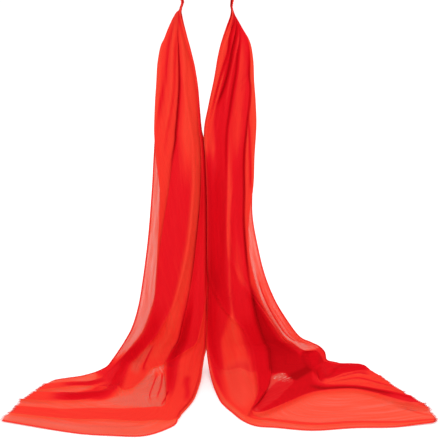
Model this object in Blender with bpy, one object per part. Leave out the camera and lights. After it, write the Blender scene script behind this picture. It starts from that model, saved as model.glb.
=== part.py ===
"""Cotton scarf hung round the neck, both ends pooled on the surface below.

One long strip of thin cotton, gathered lengthways into seven loose layers. It runs
from the end spread on the left, up the left fall, round the back of the neck, down
the right fall and out to the end spread on the right. Metres, +Z up. The origin is
at the nape, on the face of the band that the neck carries. The wearer faces -Y.
"""
import math
from collections import namedtuple

import bmesh
import bpy
import numpy as np

# Driving dimensions
MM = 0.001
NAPE_UP = 600.0        # height of the nape above the surface that the ends lie on, mm
WALL = 1.0             # thickness of the cloth wall, mm
SEAM_GAP = 0.3         # between the cloth's end and its fringe strip, mm
NAPE_SEAM = 0.5        # between the middles of two walls that meet beside the neck, mm
DRAPE = 10.0           # run over which a layer comes down past a fold under it, mm
RIDGE_SHARE = 0.25     # a ridge's half width is at most this share of the bundle's width
RIDGE_FADE = 0.25      # share of a ridge's run over which it rises and dies away
FALL_STEPS = 2         # sections made between two rows of a fall's table
NAPE_STEPS = 2         # and between two rows of the nape band's
SLOPE_STEP = 0.05      # rows on each side over which a slope is read
BEND_STEPS = 3         # faces round a fold edge
FALL_RUNS = (6, 3, 3, 3, 6, 3, 7)   # faces along each of a fall's seven layers
NAPE_RUNS = (2, 2, 2, 2, 2, 2, 2)   # and along each layer behind the neck

# Frayed ends
FRINGE_LENGTH = 7.0    # mm
FRINGE_STRIP = 2.0     # width of the woven strip that the locks are rooted in, mm
FRINGE_WALL = 0.8      # mm
FRINGE_TIP = 0.3       # width of a lock's tip against its root
LOCKS_PER_END = 40

CLOTH_COLOR = (0.80, 0.018, 0.012, 1.0)
FRINGE_COLOR = (0.86, 0.060, 0.040, 1.0)
CLOTH_ROUGHNESS = 0.85

# A section runs straight from the outer edge of the bundle to its inner edge.
# x and y are in mm from the nape, up is the height above the surface, in mm.
# pitch is the distance between two layers, bow is how far the middle stands out.
Section = namedtuple("Section", "outer_x outer_y outer_up inner_x inner_y inner_up pitch bow")

LEFT_SECTIONS = (
    Section(-33, -78, 546, -33, -118, 556, 1.5, 0),     # beside the neck, edge on
    Section(-45, -84, 529, -33, -121, 539, 1.6, 1),
    Section(-66, -104, 492, -22, -123, 494, 1.8, 4),
    Section(-73, -115, 434, -13, -123, 437, 2.1, 8),    # chest
    Section(-77, -117, 371, -6.4, -122, 373, 2.2, 11),
    Section(-80, -117, 281, -3.2, -120, 282, 2.2, 13),  # waist
    Section(-88, -116, 202, -3.2, -118, 195, 2.2, 13),
    Section(-100, -116, 122, -3.6, -118, 107, 2.2, 12), # low
    Section(-115, -118, 61, -4.2, -122, 34, 2.2, 9),
    Section(-133, -120, 25, -9, -152, 8, 2.2, 5),       # foot
    Section(-152, -125, 2, -13, -192, 1, 2.2, 2),
    Section(-169, -140, 0, -36, -270, 0, 2.2, 0),
    Section(-187, -152, 0, -85, -334, 0, 2.2, 0),       # spread
    Section(-207, -160, 0, -182, -330, 0, 2.1, 0),
    Section(-226, -165, 0, -287, -292, 0, 2.0, 0),      # end
)

RIGHT_SECTIONS = (
    Section(33, -78, 541, 33, -118, 551, 1.5, 0),       # beside the neck, edge on
    Section(40, -84, 529, 31, -121, 537, 1.6, 1),
    Section(61, -104, 496, 18, -123, 499, 1.8, 4),
    Section(67, -115, 444, 8, -123, 447, 2.1, 8),       # chest
    Section(70, -117, 379, -3.2, -122, 376, 2.2, 11),
    Section(67, -117, 288, -2.8, -120, 282, 2.2, 13),   # waist
    Section(73, -116, 197, -2.8, -118, 195, 2.2, 13),
    Section(101, -116, 109, -2.2, -118, 107, 2.2, 12),  # low
    Section(138, -112, 46, -2.2, -122, 34, 2.2, 9),
    Section(165, -108, 27, 4, -158, 8, 2.2, 5),         # foot
    Section(178, -105, 15, 18, -235, 0, 2.2, 2),
    Section(188, -108, 2, 49, -295, 0, 2.2, 0),
    Section(207, -111, 0, 97, -311, 0, 2.2, 0),         # spread
    Section(222, -112, 0, 205, -315, 0, 2.1, 0),
    Section(235, -114, 0, 321, -290, 0, 2.0, 0),        # end
)

# The band behind the neck: outer is its lower edge and inner its upper edge.
NAPE_SECTIONS = (
    Section(-33, -78, 546, -33, -118, 556, 1.5, 0),     # left tip
    Section(-34, -77, 557, -34, -110, 579, 1.5, 0),
    Section(-37, -74, 561, -37, -93, 595, 1.5, 0),
    Section(-43, -68, 561, -43, -68, 605, 1.5, 0),
    Section(-54, -46, 566, -55, -48, 612, 1.6, 0),      # side of the neck
    Section(-46, -18, 572, -46, -20, 618, 1.6, 0),
    Section(-24, -3, 576, -24, -4, 622, 1.6, 0),
    Section(0, 0, 577, 0, 0, 623, 1.6, 0),              # nape
    Section(24, -3, 576, 24, -4, 622, 1.6, 0),
    Section(46, -18, 572, 46, -20, 618, 1.6, 0),
    Section(54, -46, 565, 55, -48, 611, 1.6, 0),        # side of the neck
    Section(43, -68, 558, 43, -68, 602, 1.5, 0),
    Section(37, -74, 557, 37, -93, 591, 1.5, 0),
    Section(34, -77, 552, 34, -110, 574, 1.5, 0),
    Section(33, -78, 541, 33, -118, 551, 1.5, 0),       # right tip
)

# Where each edge of the folded strip lies at a section, from 0 at the outer to 1 at
# the inner edge of the bundle: the two selvedges, and the six folds between them.
Folds = namedtuple("Folds", "at outer fold1 fold2 fold3 fold4 fold5 fold6 inner")

LEFT_FOLDS = (
    Folds(0, 0.05, 0.95, 0.02, 0.93, 0.06, 0.98, 0.10, 1.00),
    Folds(1, 0.06, 0.96, 0.02, 0.88, 0.45, 0.98, 0.60, 1.00),
    Folds(2, 0.08, 0.97, 0.01, 0.80, 0.69, 0.985, 0.92, 1.00),
    Folds(3, 0.10, 0.98, 0.00, 0.70, 0.585, 0.985, 0.94, 0.985),     # chest
    Folds(4, 0.07, 0.99, 0.05, 0.80, 0.475, 0.985, 0.94, 0.977),
    Folds(5, 0.03, 1.00, 0.17, 0.75, 0.32, 0.985, 0.925, 0.977),     # waist
    Folds(6, 0.01, 1.00, 0.175, 0.65, 0.215, 0.985, 0.85, 0.98),
    Folds(7, 0.00, 0.94, 0.20, 0.48, 0.21, 0.99, 0.785, 1.00),       # low
    Folds(8, 0.00, 0.86, 0.14, 0.31, 0.15, 0.985, 0.70, 1.00),
    Folds(9, 0.00, 0.80, 0.09, 0.265, 0.10, 0.975, 0.70, 1.00),      # foot
    Folds(9.7, 0.00, 0.74, 0.07, 0.27, 0.11, 0.97, 0.715, 1.00),
    Folds(10.2, 0.00, 0.56, 0.07, 0.29, 0.14, 0.965, 0.735, 1.00),
    Folds(10.7, 0.00, 0.38, 0.07, 0.34, 0.20, 0.965, 0.775, 1.00),
    Folds(11.2, 0.00, 0.30, 0.07, 0.40, 0.26, 0.965, 0.83, 1.00),
    Folds(12, 0.00, 0.24, 0.08, 0.46, 0.34, 0.93, 0.76, 1.00),       # spread
    Folds(13, 0.00, 0.22, 0.08, 0.50, 0.37, 0.88, 0.68, 1.00),
    Folds(14, 0.00, 0.22, 0.08, 0.52, 0.38, 0.85, 0.62, 1.00),       # end
)

RIGHT_FOLDS = (
    Folds(0, 0.05, 0.95, 0.02, 0.93, 0.06, 0.98, 0.10, 1.00),
    Folds(1, 0.06, 0.96, 0.01, 0.93, 0.30, 0.985, 0.11, 1.00),
    Folds(2, 0.10, 0.97, 0.00, 0.94, 0.46, 0.985, 0.10, 1.00),
    Folds(3, 0.12, 0.975, 0.00, 0.95, 0.52, 0.99, 0.13, 1.00),       # chest
    Folds(4, 0.10, 0.98, 0.02, 0.97, 0.585, 0.99, 0.215, 1.00),
    Folds(5, 0.06, 0.98, 0.04, 0.975, 0.60, 0.992, 0.24, 1.00),      # waist
    Folds(6, 0.01, 0.98, 0.18, 0.975, 0.60, 0.992, 0.255, 1.00),
    Folds(7, 0.00, 0.88, 0.21, 0.90, 0.60, 0.99, 0.305, 1.00),       # low
    Folds(7.6, 0.00, 0.74, 0.19, 0.78, 0.53, 0.985, 0.34, 1.00),
    Folds(8.3, 0.00, 0.62, 0.16, 0.66, 0.42, 0.98, 0.39, 1.00),
    Folds(9, 0.00, 0.56, 0.14, 0.60, 0.32, 0.975, 0.46, 1.00),       # foot
    Folds(9.8, 0.00, 0.51, 0.10, 0.56, 0.22, 0.97, 0.52, 1.00),
    Folds(10.5, 0.00, 0.48, 0.07, 0.53, 0.15, 0.965, 0.61, 1.00),
    Folds(11.1, 0.00, 0.45, 0.05, 0.50, 0.10, 0.955, 0.84, 1.00),
    Folds(12, 0.00, 0.42, 0.03, 0.45, 0.06, 0.94, 0.88, 1.00),       # spread
    Folds(13, 0.00, 0.47, 0.03, 0.51, 0.06, 0.94, 0.88, 1.00),
    Folds(14, 0.00, 0.50, 0.03, 0.56, 0.06, 0.94, 0.88, 1.00),       # end
)

# Round the neck the strip keeps the folds that both falls have at their tips.
NAPE_FOLDS = (
    LEFT_FOLDS[0],
    LEFT_FOLDS[0]._replace(at=len(NAPE_SECTIONS) - 1),
)

# Soft ridges that all layers share. first and last are sections, at_* is the place
# across the bundle on the way down, half is the half width and height how far the
# ridge stands out, both in mm.
Ridge = namedtuple("Ridge", "first last at_first at_middle at_last half height")

LEFT_RIDGES = (
    Ridge(1.5, 5.0, 0.38, 0.34, 0.20, 12, 4),
    Ridge(1.5, 4.6, 0.80, 0.77, 0.74, 11, 4),
    Ridge(3.6, 10.0, 0.86, 0.72, 0.36, 13, 9),          # long lit ridge
    Ridge(6.0, 10.5, 0.93, 0.89, 0.84, 11, 6),
    Ridge(8.0, 11.6, 0.22, 0.20, 0.16, 16, 8),
    Ridge(10.0, 13.8, 0.16, 0.18, 0.20, 13, 6),
    Ridge(9.6, 12.0, 0.46, 0.50, 0.48, 11, 5),
)

RIGHT_RIDGES = (
    Ridge(1.0, 6.0, 0.32, 0.34, 0.40, 13, 6),
    Ridge(0.8, 4.0, 0.72, 0.74, 0.80, 8, 4),
    Ridge(3.4, 8.4, 0.53, 0.55, 0.66, 10, 9),           # long lit ridge
    Ridge(1.6, 5.2, 0.06, 0.06, 0.06, 8, 4),
    Ridge(4.0, 6.4, 0.86, 0.87, 0.88, 12, 5),
    Ridge(6.8, 10.6, 0.66, 0.74, 0.80, 24, 10),         # pouch over the foot
    Ridge(9.2, 11.4, 0.07, 0.08, 0.10, 15, 9),          # bunch at the outer edge
    Ridge(10.6, 14.4, 0.12, 0.13, 0.12, 13, 8),
    Ridge(11.0, 14.4, 0.30, 0.31, 0.28, 13, 6),
)

NAPE_RIDGES = ()

# side is -1 where the outer edge lies on the left. start and finish are the ways
# that the strip runs at a seam beside the neck, so that two stretches meet there.
Stretch = namedtuple("Stretch", "sections folds ridges runs side start finish")
UP, DOWN = np.array((0.0, 0.0, 1.0)), np.array((0.0, 0.0, -1.0))
LEFT_STRETCH = Stretch(LEFT_SECTIONS, LEFT_FOLDS, LEFT_RIDGES, FALL_RUNS, -1, DOWN, None)
RIGHT_STRETCH = Stretch(RIGHT_SECTIONS, RIGHT_FOLDS, RIGHT_RIDGES, FALL_RUNS, 1, DOWN, None)
NAPE_STRETCH = Stretch(NAPE_SECTIONS, NAPE_FOLDS, NAPE_RIDGES, NAPE_RUNS, 1, UP, DOWN)


def clear_scene():
    for old in list(bpy.data.objects):
        bpy.data.objects.remove(old, do_unlink=True)


def smooth_step(value):
    value = min(max(value, 0.0), 1.0)
    return value * value * (3.0 - 2.0 * value)


def smooth_read(knots, values, at):
    """Read a smooth curve through the rows of a table."""
    values = np.asarray(values, dtype=float)
    last = len(knots) - 2
    span = min(max(int(np.searchsorted(knots, at, side="right")) - 1, 0), last)

    def slope(row):
        low, high = max(row - 1, 0), min(row + 1, len(knots) - 1)
        return (values[high] - values[low]) / (knots[high] - knots[low])

    width = knots[span + 1] - knots[span]
    t = (at - knots[span]) / width
    rise = values[span + 1] - values[span]
    start, end = slope(span) * width, slope(span + 1) * width
    return (values[span] + t * start + t * t * (3 * rise - 2 * start - end)
            + t * t * t * (start + end - 2 * rise))


def read_section(stretch, at):
    rows = range(len(stretch.sections))
    return Section(*smooth_read(rows, stretch.sections, at))


def rails(stretch, at):
    section = read_section(stretch, at)
    outer = np.array((section.outer_x, section.outer_y, section.outer_up))
    inner = np.array((section.inner_x, section.inner_y, section.inner_up))
    return outer, inner


def facing(stretch, at, u):
    """Way that the bundle's show side faces at a place across a section."""
    outer, inner = rails(stretch, at)
    before = np.array(rails(stretch, max(at - SLOPE_STEP, 0.0)))
    after = np.array(rails(stretch, min(at + SLOPE_STEP, len(stretch.sections) - 1.0)))
    change = after - before
    along = change[0] * (1.0 - u) + change[1] * u
    along /= np.linalg.norm(along)
    to_finish = len(stretch.sections) - 1.0 - at
    for run, seam_way in ((at, stretch.start), (to_finish, stretch.finish)):
        if seam_way is not None:
            along = seam_way + (along - seam_way) * smooth_step(run)
    normal = np.cross(inner - outer, along) * stretch.side
    return normal / np.linalg.norm(normal)


def ridge_height(stretch, at, u, width):
    """Height of all ridges and of the bow at one place, in mm."""
    total = read_section(stretch, at).bow * (1.0 - (2.0 * u - 1.0) ** 2)
    for ridge in stretch.ridges:
        if not ridge.first < at < ridge.last:
            continue
        part = (at - ridge.first) / (ridge.last - ridge.first)
        centre = smooth_read((0.0, 0.5, 1.0), (ridge.at_first, ridge.at_middle, ridge.at_last), part)
        half = min(ridge.half, RIDGE_SHARE * width)
        off = abs(u - centre) * width / half
        fade = smooth_step(part / RIDGE_FADE) * smooth_step((1.0 - part) / RIDGE_FADE)
        if off < 1.0:
            total += ridge.height * half / ridge.half * fade * 0.5 * (1.0 + math.cos(math.pi * off))
    return total


def folded_line(stretch, at):
    """Points of the strip across one section, as (u, height over the base)."""
    section = read_section(stretch, at)
    outer, inner = rails(stretch, at)
    width = float(np.linalg.norm(inner - outer))
    pitch = section.pitch
    radius = 0.5 * pitch
    table = smooth_read([row.at for row in stretch.folds], [row[1:] for row in stretch.folds], at)
    edges = [min(max(float(edge), 0.0), 1.0) * width for edge in table]

    def stack(x, layer):
        count = 0.0
        for below in range(layer):
            low, high = sorted((edges[below], edges[below + 1]))
            count += smooth_step((x - low) / DRAPE + 1.0) * smooth_step((high - x) / DRAPE + 1.0)
        return count * pitch

    line = []
    layers = len(edges) - 1
    for layer in range(layers):
        way = 1.0 if layer % 2 == 0 else -1.0
        start = edges[layer] + (0.0 if layer == 0 else way * radius)
        stop = edges[layer + 1] - (0.0 if layer == layers - 1 else way * radius)
        if (stop - start) * way < radius:
            stop = start + way * radius
        steps = stretch.runs[layer]
        for step in range(steps + 1):
            x = start + (stop - start) * step / steps
            line.append((x, stack(x, layer)))
        if layer == layers - 1:
            continue
        low, high = stack(stop, layer), stack(stop, layer + 1)
        for step in range(1, BEND_STEPS):
            turn = math.pi * step / BEND_STEPS
            x = stop + way * radius * math.sin(turn)
            line.append((x, low + (high - low) * 0.5 * (1.0 - math.cos(turn))))
    return [(x / width, height) for x, height in line], width


def section_points(stretch, at):
    line, width = folded_line(stretch, at)
    outer, inner = rails(stretch, at)
    points = []
    for u, height in line:
        lift = 0.5 * WALL + height + ridge_height(stretch, at, u, width)
        place = outer + (inner - outer) * u + facing(stretch, at, u) * lift
        points.append((place - (0.0, 0.0, NAPE_UP)) * MM)
    return points


def grid_mesh(name, rows):
    """One open sheet through rows of points."""
    mesh = bpy.data.meshes.new(name)
    across = len(rows[0])
    points = [tuple(point) for row in rows for point in row]
    faces = []
    for row in range(len(rows) - 1):
        for column in range(across - 1):
            corner = row * across + column
            faces.append((corner, corner + 1, corner + across + 1, corner + across))
    mesh.from_pydata(points, [], faces)
    mesh.update()
    return mesh


def add_material(name, color, roughness):
    material = bpy.data.materials.new(name)
    material.use_nodes = True
    shader = material.node_tree.nodes["Principled BSDF"]
    shader.inputs["Base Color"].default_value = color
    shader.inputs["Roughness"].default_value = roughness
    shader.inputs["Metallic"].default_value = 0.0
    return material


def add_object(name, mesh, material):
    thing = bpy.data.objects.new(name, mesh)
    bpy.context.scene.collection.objects.link(thing)
    mesh.materials.append(material)
    mesh.shade_smooth()
    return thing


def thicken(thing, wall):
    """Give an open sheet its wall, half on each side."""
    shell = thing.modifiers.new("Cloth wall", "SOLIDIFY")
    shell.thickness = wall * MM
    shell.offset = 0.0
    shell.use_even_offset = False


def cloth_stretch(name, stretch, steps_per_row, seam, material):
    """One stretch of the strip; seam is kept free at each end, in rows."""
    steps = (len(stretch.sections) - 1) * steps_per_row
    places = np.linspace(seam, len(stretch.sections) - 1.0 - seam, steps + 1)
    rows = [section_points(stretch, at) for at in places]
    thing = add_object(name, grid_mesh(name, rows), material)
    thicken(thing, WALL)
    return thing


def resample(points, count):
    """Points at even distances along a line."""
    points = np.array(points)
    lengths = np.linalg.norm(np.diff(points, axis=0), axis=1)
    travel = np.concatenate(((0.0,), np.cumsum(lengths)))
    places = np.linspace(0.0, travel[-1], count)
    return np.stack([np.interp(places, travel, points[:, axis]) for axis in range(3)], axis=1)


def fringe(name, stretch, material):
    """Short locks of loose threads, rooted in a narrow strip off the cloth's end."""
    end = len(stretch.sections) - 1.0
    count = 2 * LOCKS_PER_END + 2
    line = resample(section_points(stretch, end), count)
    outer, inner = rails(stretch, end)
    along = np.cross(UP, inner - outer) * stretch.side
    along /= np.linalg.norm(along)
    tangent = np.gradient(line, axis=0)
    normal = np.cross(tangent, along)
    normal /= np.linalg.norm(normal, axis=1)[:, None]
    half = 0.5 * FRINGE_WALL * MM
    root = line + along * SEAM_GAP * MM
    lip = root + along * FRINGE_STRIP * MM
    corners = [(root[i] - normal[i] * half, root[i] + normal[i] * half,
                lip[i] + normal[i] * half, lip[i] - normal[i] * half) for i in range(count)]
    shape = bmesh.new()
    rings = [[shape.verts.new(point) for point in ring] for ring in corners]
    lock_faces = []
    for index in range(count - 1):
        near, far = rings[index], rings[index + 1]
        for side in range(4):
            after = (side + 1) % 4
            face = shape.faces.new((near[side], near[after], far[after], far[side]))
            if side == 2 and index % 2 == 0:
                lock_faces.append(face)
    shape.faces.new(rings[0][::-1])
    shape.faces.new(rings[-1])
    bmesh.ops.recalc_face_normals(shape, faces=shape.faces)
    for face in lock_faces:
        centre = face.calc_center_median()
        made = bmesh.ops.extrude_discrete_faces(shape, faces=[face])["faces"][0]
        reach = along * FRINGE_LENGTH * MM
        for vert in made.verts:
            spread = (vert.co - centre) * FRINGE_TIP
            vert.co = centre + spread
            vert.co.x += reach[0]
            vert.co.y += reach[1]
            vert.co.z += reach[2]
    mesh = bpy.data.meshes.new(name)
    bmesh.ops.recalc_face_normals(shape, faces=shape.faces)
    shape.to_mesh(mesh)
    shape.free()
    return add_object(name, mesh, material)


def build():
    clear_scene()
    cloth = add_material("red cotton voile", CLOTH_COLOR, CLOTH_ROUGHNESS)
    threads = add_material("red cotton threads", FRINGE_COLOR, CLOTH_ROUGHNESS)
    first_rise = NAPE_SECTIONS[1].outer_up - NAPE_SECTIONS[0].outer_up
    cloth_stretch("left_fall", LEFT_STRETCH, FALL_STEPS, 0.0, cloth)
    cloth_stretch("nape_band", NAPE_STRETCH, NAPE_STEPS, NAPE_SEAM / first_rise, cloth)
    cloth_stretch("right_fall", RIGHT_STRETCH, FALL_STEPS, 0.0, cloth)
    fringe("left_fringe", LEFT_STRETCH, threads)
    fringe("right_fringe", RIGHT_STRETCH, threads)


build()
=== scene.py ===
import math

import bmesh
import bpy
import numpy as np
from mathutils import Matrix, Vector


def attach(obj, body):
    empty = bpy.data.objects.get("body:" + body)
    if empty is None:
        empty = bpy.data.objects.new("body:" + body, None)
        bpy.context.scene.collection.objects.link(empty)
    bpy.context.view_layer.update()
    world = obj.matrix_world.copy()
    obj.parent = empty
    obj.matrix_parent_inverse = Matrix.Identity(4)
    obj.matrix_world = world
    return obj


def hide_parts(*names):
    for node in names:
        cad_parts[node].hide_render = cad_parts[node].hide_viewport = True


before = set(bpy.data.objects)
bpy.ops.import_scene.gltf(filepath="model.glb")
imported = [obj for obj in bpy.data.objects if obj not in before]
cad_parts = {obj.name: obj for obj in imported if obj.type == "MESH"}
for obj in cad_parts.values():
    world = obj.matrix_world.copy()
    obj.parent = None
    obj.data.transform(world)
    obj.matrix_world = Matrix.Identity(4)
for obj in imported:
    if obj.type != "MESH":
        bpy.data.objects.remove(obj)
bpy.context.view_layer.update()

mm = 0.001
floorUp = -600.0             # height of the surface against the nape, mm
lastSection = 14             # the number of every table's last section

# The strip as it was cut and gathered. Both falls, the band and both ends share it.
cut = {
    "width": 450.0,          # mm
    "layers": 7,             # loose layers that the strip is gathered into
    "drape": 5.0,            # run over which a layer comes down past a fold, mm
    "loft": 0.75,            # how far a fold edge stands off, since nobody pressed it, in layer spacings
    "loftHalf": 6.0,         # half width of that roll, mm
    "wander": 0.003,         # how far a fold edge strays, as a share of the bundle's width
    "wanderTurns": 1.7,      # how often it does so in a section
    # loose crinkles of three sizes: height, run across and run down, mm
    "crinkles": ((0.9, 26.0, 130.0), (0.35, 7.0, 60.0), (0.12, 3.2, 26.0)),
    "crinkleFrom": 0.6,      # sections over which they grow, from the first
    "crinkleLying": 0.35,    # share of them that is left where the cloth lies on the surface
    "creaseMost": 0.25,      # half width of a crease at most, as a share of the bundle's width
    "seat": 0.5,             # how far the lowest layer stands out from the sections' line, mm
    "restUp": 0.35,          # the least height over the surface, mm
    "lieFrom": 40.0,         # height from which the cloth begins to lie on the surface, mm
    "lieOver": 30.0,         # and the drop over which it does, mm
    "lyingSeat": 0.4,        # the least lift there, mm, with this share of the layers below
    "lyingStack": 0.8,
    "leastPaintedShade": 0.24,       # the least painted shade where layers lie over each other
    "leastFrom": 1.5,        # layers over which that comes in
}

# How finely the cloth is meshed
grain = {
    "bendPoints": 5,         # points round each fold edge
    "samples": 161,          # places that a layer's points are chosen from
    "foldHalf": 2.5,         # half width of the finer stretch beside a fold edge, mm
    "foldFiner": 4.0,        # how many times as many points there, less one
    "creaseUnder": 5.0,      # creases of less than this half width, mm, get more points
    "creaseHalf": 1.2,       # over this many times that half width
    "creaseFiner": 3.0,
}


# Small tools

def hexColor(code):
    values = [int(code[place:place + 2], 16) / 255.0 for place in (1, 3, 5)]
    linear = [value / 12.92 if value <= 0.04045 else ((value + 0.055) / 1.055) ** 2.4 for value in values]
    return (*linear, 1.0)


def addNode(tree, kind, inputs=None, **settings):
    # an input that is given as a node takes that node's first output
    node = tree.nodes.new(kind)
    for name, value in settings.items():
        setattr(node, name, value)
    for name, value in (inputs or {}).items():
        if isinstance(value, bpy.types.Node):
            value = value.outputs[0]
        if isinstance(value, bpy.types.NodeSocket):
            tree.links.new(value, node.inputs[name])
        else:
            node.inputs[name].default_value = value
    return node


def smoothStep(value):
    value = np.clip(value, 0.0, 1.0)
    return value * value * (3.0 - 2.0 * value)


def runningSum(steps):
    # from 0, along the last axis
    return np.cumsum(np.insert(steps, 0, 0.0, axis=-1), axis=-1)


def unit(vectors):
    return vectors / np.maximum(np.linalg.norm(vectors, axis=-1, keepdims=True), 1e-9)


def readCurve(knots, values, places):
    # smooth curve through the rows of a table, read at many places at once
    knots = np.asarray(knots, float)
    values = np.asarray(values, float).reshape(len(knots), -1)
    last = len(knots) - 1
    span = np.clip(np.searchsorted(knots, places, side="right") - 1, 0, last - 1)

    def slope(row):
        low, high = np.maximum(row - 1, 0), np.minimum(row + 1, last)
        return (values[high] - values[low]) / (knots[high] - knots[low])[:, None]

    gap = (knots[span + 1] - knots[span])[:, None]
    t = (places - knots[span])[:, None] / gap
    rise = values[span + 1] - values[span]
    start, end = slope(span) * gap, slope(span + 1) * gap
    return values[span] + t * start + t * t * (3 * rise - 2 * start - end) + t ** 3 * (start + end - 2 * rise)


def softNoise(x, y, seed):
    # smooth bumps from -1 to 1, one to a unit each way
    lattice = np.random.default_rng(seed).uniform(-1.0, 1.0, (64, 64))
    left, low = np.floor(x).astype(int), np.floor(y).astype(int)
    across, up = smoothStep(x - left), smoothStep(y - low)
    rows = [lattice[left % 64, row % 64] * (1 - across) + lattice[(left + 1) % 64, row % 64] * across
            for row in (low, low + 1)]
    return rows[0] * (1 - up) + rows[1] * up


# The cloth's form, one table for each stretch. The strip is gathered in layers, as an accordion
# is, and every table reads from one end of the stretch to the other, by the number of a section.
# A section runs straight from the outer edge of the bundle to its inner edge: its number, outer
# x, y, height, inner x, y, height, layer spacing and bow, in mm. Heights are over the surface.

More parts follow.
